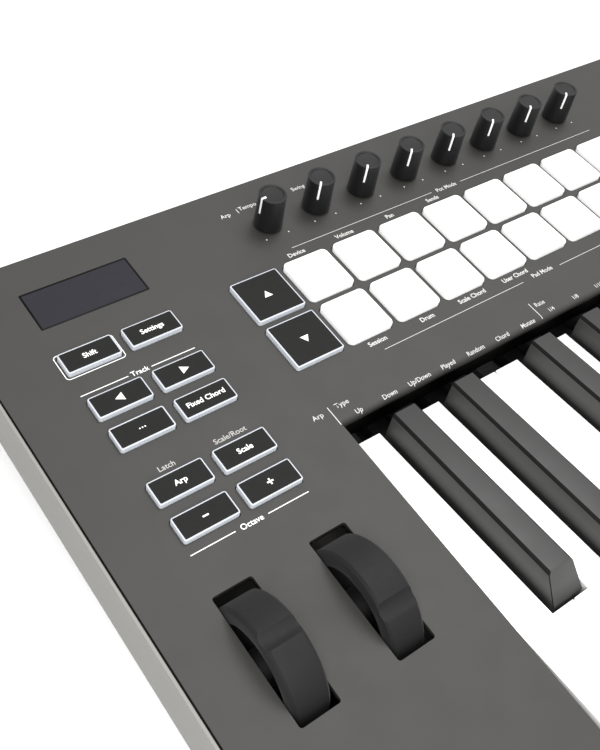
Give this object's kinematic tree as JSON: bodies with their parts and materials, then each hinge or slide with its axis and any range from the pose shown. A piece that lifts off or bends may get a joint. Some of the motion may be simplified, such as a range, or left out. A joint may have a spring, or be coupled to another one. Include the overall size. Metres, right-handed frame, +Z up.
{
  "type": "midi keyboard",
  "caption": "Compact controller keyboard: sloped control panel with display, buttons, knobs, pads, two wheels and a bed of piano-style keys.",
  "frame": {"origin": "on the table, under the middle of the case", "axes": "+X along the keys to the high notes, +Y to the back, +Z up"},
  "size_m": [0.465, 0.258, 0.0774],
  "materials": {
    "panel_plastic": "fine moulded texture",
    "case_plastic": "fine moulded texture",
    "frame_plastic": "moulded",
    "steel": "bright",
    "circuit_board": "solder mask over glass-fibre board",
    "socket_plastic": "moulded",
    "pad_silicone": "smooth translucent silicone",
    "display_window": "polished",
    "foot_rubber": "matte",
    "white_key": "polished",
    "black_key": "satin",
    "knob_plastic": "satin",
    "wheel_rubber": "soft-touch coating",
    "button_silicone": "smooth translucent silicone"
  },
  "bodies": {
    "case": {"top_panel": "panel_plastic", "bottom_case": "case_plastic", "key_frame": "frame_plastic", "pivot_rod": "steel", "key_springs": "steel", "circuit_boards": "circuit_board", "rear_sockets": "socket_plastic", "pad_mat": "pad_silicone", "display_window": "display_window", "wheel_bracket": "frame_plastic", "rubber_feet": "foot_rubber", "case_screws": "steel"},
    "modulation_wheel": {"modulation_wheel": "wheel_rubber"},
    "pitch_wheel": {"pitch_wheel": "wheel_rubber"},
    "knob_1": {"knob_1": "knob_plastic"},
    "knob_2": {"knob_2": "knob_plastic"},
    "knob_3": {"knob_3": "knob_plastic"},
    "knob_4": {"knob_4": "knob_plastic"},
    "shift_button": {"shift_button": "button_silicone"},
    "settings_button": {"settings_button": "button_silicone"},
    "track_left_button": {"track_left_button": "button_silicone"},
    "track_right_button": {"track_right_button": "button_silicone"},
    "more_button": {"more_button": "button_silicone"},
    "chord_button": {"chord_button": "button_silicone"},
    "arp_button": {"arp_button": "button_silicone"},
    "scale_button": {"scale_button": "button_silicone"},
    "octave_down_button": {"octave_down_button": "button_silicone"},
    "octave_up_button": {"octave_up_button": "button_silicone"},
    "arrow_up_button": {"arrow_up_button": "button_silicone"},
    "arrow_down_button": {"arrow_down_button": "button_silicone"},
    "function_buttons": {"function_buttons": "button_silicone"},
    "key_c3": {"key_c3": "white_key"},
    "key_cs3": {"key_cs3": "black_key"},
    "key_d3": {"key_d3": "white_key"},
    "key_ds3": {"key_ds3": "black_key"},
    "key_e3": {"key_e3": "white_key"},
    "key_f3": {"key_f3": "white_key"},
    "key_fs3": {"key_fs3": "black_key"},
    "key_g3": {"key_g3": "white_key"},
    "key_gs3": {"key_gs3": "black_key"},
    "key_a3": {"key_a3": "white_key"},
    "key_as3": {"key_as3": "black_key"},
    "key_b3": {"key_b3": "white_key"},
    "key_c4": {"key_c4": "white_key"},
    "key_cs4": {"key_cs4": "black_key"},
    "key_d4": {"key_d4": "white_key"},
    "key_ds4": {"key_ds4": "black_key"},
    "key_e4": {"key_e4": "white_key"},
    "key_f4": {"key_f4": "white_key"},
    "key_fs4": {"key_fs4": "black_key"},
    "key_g4": {"key_g4": "white_key"},
    "key_gs4": {"key_gs4": "black_key"},
    "key_a4": {"key_a4": "white_key"},
    "key_as4": {"key_as4": "black_key"},
    "key_b4": {"key_b4": "white_key"},
    "key_c5": {"key_c5": "white_key"},
    "knob_5": {"knob_5": "knob_plastic"},
    "knob_6": {"knob_6": "knob_plastic"},
    "knob_7": {"knob_7": "knob_plastic"},
    "knob_8": {"knob_8": "knob_plastic"}
  },
  "joints": [
    {"name": "modulation_wheel_turn", "type": "hinge", "parent": "case", "child": "modulation_wheel", "pos_m": [-0.16935, -0.03654, 0.03955], "axis": [-1, 0, 0], "range_deg": [0, 60]},
    {"name": "pitch_wheel_turn", "type": "hinge", "parent": "case", "child": "pitch_wheel", "pos_m": [-0.20395, -0.03654, 0.03955], "axis": [-1, 0, 0], "range_deg": [-30, 30], "stiffness_Nm_per_rad": 0.06},
    {"name": "knob_1_turn", "type": "hinge", "parent": "case", "child": "knob_1", "pos_m": [-0.1077, 0.10459, 0.06144], "axis": [0, -0.0872, 0.9962], "range_deg": [-240, 50]},
    {"name": "knob_2_turn", "type": "hinge", "parent": "case", "child": "knob_2", "pos_m": [-0.08435, 0.10459, 0.06144], "axis": [0, -0.0872, 0.9962], "range_deg": [-283, 7]},
    {"name": "knob_3_turn", "type": "hinge", "parent": "case", "child": "knob_3", "pos_m": [-0.061, 0.10459, 0.06144], "axis": [0, -0.0872, 0.9962], "range_deg": [-283, 7]},
    {"name": "knob_4_turn", "type": "hinge", "parent": "case", "child": "knob_4", "pos_m": [-0.03765, 0.10459, 0.06144], "axis": [0, -0.0872, 0.9962], "range_deg": [-283, 7]},
    {"name": "shift_button_press", "type": "slide", "parent": "case", "child": "shift_button", "axis": [0, 0.0872, -0.9962], "range_m": [0, 0.001], "stiffness_N_per_m": 400, "springref_m": -0.001},
    {"name": "settings_button_press", "type": "slide", "parent": "case", "child": "settings_button", "axis": [0, 0.0872, -0.9962], "range_m": [0, 0.001], "stiffness_N_per_m": 400, "springref_m": -0.001},
    {"name": "track_left_button_press", "type": "slide", "parent": "case", "child": "track_left_button", "axis": [0, 0.0872, -0.9962], "range_m": [0, 0.001], "stiffness_N_per_m": 400, "springref_m": -0.001},
    {"name": "track_right_button_press", "type": "slide", "parent": "case", "child": "track_right_button", "axis": [0, 0.0872, -0.9962], "range_m": [0, 0.001], "stiffness_N_per_m": 400, "springref_m": -0.001},
    {"name": "more_button_press", "type": "slide", "parent": "case", "child": "more_button", "axis": [0, 0.0872, -0.9962], "range_m": [0, 0.001], "stiffness_N_per_m": 400, "springref_m": -0.001},
    {"name": "chord_button_press", "type": "slide", "parent": "case", "child": "chord_button", "axis": [0, 0.0872, -0.9962], "range_m": [0, 0.001], "stiffness_N_per_m": 400, "springref_m": -0.001},
    {"name": "arp_button_press", "type": "slide", "parent": "case", "child": "arp_button", "axis": [0, 0.0872, -0.9962], "range_m": [0, 0.001], "stiffness_N_per_m": 400, "springref_m": -0.001},
    {"name": "scale_button_press", "type": "slide", "parent": "case", "child": "scale_button", "axis": [0, 0.0872, -0.9962], "range_m": [0, 0.001], "stiffness_N_per_m": 400, "springref_m": -0.001},
    {"name": "octave_down_button_press", "type": "slide", "parent": "case", "child": "octave_down_button", "axis": [0, 0.0872, -0.9962], "range_m": [0, 0.001], "stiffness_N_per_m": 400, "springref_m": -0.001},
    {"name": "octave_up_button_press", "type": "slide", "parent": "case", "child": "octave_up_button", "axis": [0, 0.0872, -0.9962], "range_m": [0, 0.001], "stiffness_N_per_m": 400, "springref_m": -0.001},
    {"name": "arrow_up_button_press", "type": "slide", "parent": "case", "child": "arrow_up_button", "axis": [0, 0.0872, -0.9962], "range_m": [0, 0.001], "stiffness_N_per_m": 400, "springref_m": -0.001},
    {"name": "arrow_down_button_press", "type": "slide", "parent": "case", "child": "arrow_down_button", "axis": [0, 0.0872, -0.9962], "range_m": [0, 0.001], "stiffness_N_per_m": 400, "springref_m": -0.001},
    {"name": "function_buttons_press", "type": "slide", "parent": "case", "child": "function_buttons", "axis": [0, 0.0872, -0.9962], "range_m": [0, 0.001], "stiffness_N_per_m": 3000, "springref_m": -0.001},
    {"name": "key_c3_press", "type": "hinge", "parent": "case", "child": "key_c3", "pos_m": [-0.13185, 0.05994, 0.03501], "axis": [1, 0, 0], "range_deg": [0, 3], "stiffness_Nm_per_rad": 1, "springref_deg": -3.44},
    {"name": "key_cs3_press", "type": "hinge", "parent": "case", "child": "key_cs3", "pos_m": [-0.11814, 0.05994, 0.03501], "axis": [1, 0, 0], "range_deg": [0, 3], "stiffness_Nm_per_rad": 1, "springref_deg": -3.44},
    {"name": "key_d3_press", "type": "hinge", "parent": "case", "child": "key_d3", "pos_m": [-0.10443, 0.05994, 0.03501], "axis": [1, 0, 0], "range_deg": [0, 3], "stiffness_Nm_per_rad": 1, "springref_deg": -3.44},
    {"name": "key_ds3_press", "type": "hinge", "parent": "case", "child": "key_ds3", "pos_m": [-0.09072, 0.05994, 0.03501], "axis": [1, 0, 0], "range_deg": [0, 3], "stiffness_Nm_per_rad": 1, "springref_deg": -3.44},
    {"name": "key_e3_press", "type": "hinge", "parent": "case", "child": "key_e3", "pos_m": [-0.07701, 0.05994, 0.03501], "axis": [1, 0, 0], "range_deg": [0, 3], "stiffness_Nm_per_rad": 1, "springref_deg": -3.44},
    {"name": "key_f3_press", "type": "hinge", "parent": "case", "child": "key_f3", "pos_m": [-0.0633, 0.05994, 0.03501], "axis": [1, 0, 0], "range_deg": [0, 3], "stiffness_Nm_per_rad": 1, "springref_deg": -3.44},
    {"name": "key_fs3_press", "type": "hinge", "parent": "case", "child": "key_fs3", "pos_m": [-0.0496, 0.05994, 0.03501], "axis": [1, 0, 0], "range_deg": [0, 3], "stiffness_Nm_per_rad": 1, "springref_deg": -3.44},
    {"name": "key_g3_press", "type": "hinge", "parent": "case", "child": "key_g3", "pos_m": [-0.03589, 0.05994, 0.03501], "axis": [1, 0, 0], "range_deg": [0, 3], "stiffness_Nm_per_rad": 1, "springref_deg": -3.44},
    {"name": "key_gs3_press", "type": "hinge", "parent": "case", "child": "key_gs3", "pos_m": [-0.02218, 0.05994, 0.03501], "axis": [1, 0, 0], "range_deg": [0, 3], "stiffness_Nm_per_rad": 1, "springref_deg": -3.44},
    {"name": "key_a3_press", "type": "hinge", "parent": "case", "child": "key_a3", "pos_m": [-0.00847, 0.05994, 0.03501], "axis": [1, 0, 0], "range_deg": [0, 3], "stiffness_Nm_per_rad": 1, "springref_deg": -3.44},
    {"name": "key_as3_press", "type": "hinge", "parent": "case", "child": "key_as3", "pos_m": [0.00524, 0.05994, 0.03501], "axis": [1, 0, 0], "range_deg": [0, 3], "stiffness_Nm_per_rad": 1, "springref_deg": -3.44},
    {"name": "key_b3_press", "type": "hinge", "parent": "case", "child": "key_b3", "pos_m": [0.01895, 0.05994, 0.03501], "axis": [1, 0, 0], "range_deg": [0, 3], "stiffness_Nm_per_rad": 1, "springref_deg": -3.44},
    {"name": "key_c4_press", "type": "hinge", "parent": "case", "child": "key_c4", "pos_m": [0.03265, 0.05994, 0.03501], "axis": [1, 0, 0], "range_deg": [0, 3], "stiffness_Nm_per_rad": 1, "springref_deg": -3.44},
    {"name": "key_cs4_press", "type": "hinge", "parent": "case", "child": "key_cs4", "pos_m": [0.04636, 0.05994, 0.03501], "axis": [1, 0, 0], "range_deg": [0, 3], "stiffness_Nm_per_rad": 1, "springref_deg": -3.44},
    {"name": "key_d4_press", "type": "hinge", "parent": "case", "child": "key_d4", "pos_m": [0.06007, 0.05994, 0.03501], "axis": [1, 0, 0], "range_deg": [0, 3], "stiffness_Nm_per_rad": 1, "springref_deg": -3.44},
    {"name": "key_ds4_press", "type": "hinge", "parent": "case", "child": "key_ds4", "pos_m": [0.07378, 0.05994, 0.03501], "axis": [1, 0, 0], "range_deg": [0, 3], "stiffness_Nm_per_rad": 1, "springref_deg": -3.44},
    {"name": "key_e4_press", "type": "hinge", "parent": "case", "child": "key_e4", "pos_m": [0.08749, 0.05994, 0.03501], "axis": [1, 0, 0], "range_deg": [0, 3], "stiffness_Nm_per_rad": 1, "springref_deg": -3.44},
    {"name": "key_f4_press", "type": "hinge", "parent": "case", "child": "key_f4", "pos_m": [0.1012, 0.05994, 0.03501], "axis": [1, 0, 0], "range_deg": [0, 3], "stiffness_Nm_per_rad": 1, "springref_deg": -3.44},
    {"name": "key_fs4_press", "type": "hinge", "parent": "case", "child": "key_fs4", "pos_m": [0.1149, 0.05994, 0.03501], "axis": [1, 0, 0], "range_deg": [0, 3], "stiffness_Nm_per_rad": 1, "springref_deg": -3.44},
    {"name": "key_g4_press", "type": "hinge", "parent": "case", "child": "key_g4", "pos_m": [0.12861, 0.05994, 0.03501], "axis": [1, 0, 0], "range_deg": [0, 3], "stiffness_Nm_per_rad": 1, "springref_deg": -3.44},
    {"name": "key_gs4_press", "type": "hinge", "parent": "case", "child": "key_gs4", "pos_m": [0.14232, 0.05994, 0.03501], "axis": [1, 0, 0], "range_deg": [0, 3], "stiffness_Nm_per_rad": 1, "springref_deg": -3.44},
    {"name": "key_a4_press", "type": "hinge", "parent": "case", "child": "key_a4", "pos_m": [0.15603, 0.05994, 0.03501], "axis": [1, 0, 0], "range_deg": [0, 3], "stiffness_Nm_per_rad": 1, "springref_deg": -3.44},
    {"name": "key_as4_press", "type": "hinge", "parent": "case", "child": "key_as4", "pos_m": [0.16974, 0.05994, 0.03501], "axis": [1, 0, 0], "range_deg": [0, 3], "stiffness_Nm_per_rad": 1, "springref_deg": -3.44},
    {"name": "key_b4_press", "type": "hinge", "parent": "case", "child": "key_b4", "pos_m": [0.18345, 0.05994, 0.03501], "axis": [1, 0, 0], "range_deg": [0, 3], "stiffness_Nm_per_rad": 1, "springref_deg": -3.44},
    {"name": "key_c5_press", "type": "hinge", "parent": "case", "child": "key_c5", "pos_m": [0.19715, 0.05994, 0.03501], "axis": [1, 0, 0], "range_deg": [0, 3], "stiffness_Nm_per_rad": 1, "springref_deg": -3.44},
    {"name": "knob_5_turn", "type": "hinge", "parent": "case", "child": "knob_5", "pos_m": [-0.0143, 0.10459, 0.06144], "axis": [0, -0.0872, 0.9962], "range_deg": [-283, 7]},
    {"name": "knob_6_turn", "type": "hinge", "parent": "case", "child": "knob_6", "pos_m": [0.00905, 0.10459, 0.06144], "axis": [0, -0.0872, 0.9962], "range_deg": [-283, 7]},
    {"name": "knob_7_turn", "type": "hinge", "parent": "case", "child": "knob_7", "pos_m": [0.0324, 0.10459, 0.06144], "axis": [0, -0.0872, 0.9962], "range_deg": [-283, 7]},
    {"name": "knob_8_turn", "type": "hinge", "parent": "case", "child": "knob_8", "pos_m": [0.05575, 0.10459, 0.06144], "axis": [0, -0.0872, 0.9962], "range_deg": [-283, 7]}
  ]
}
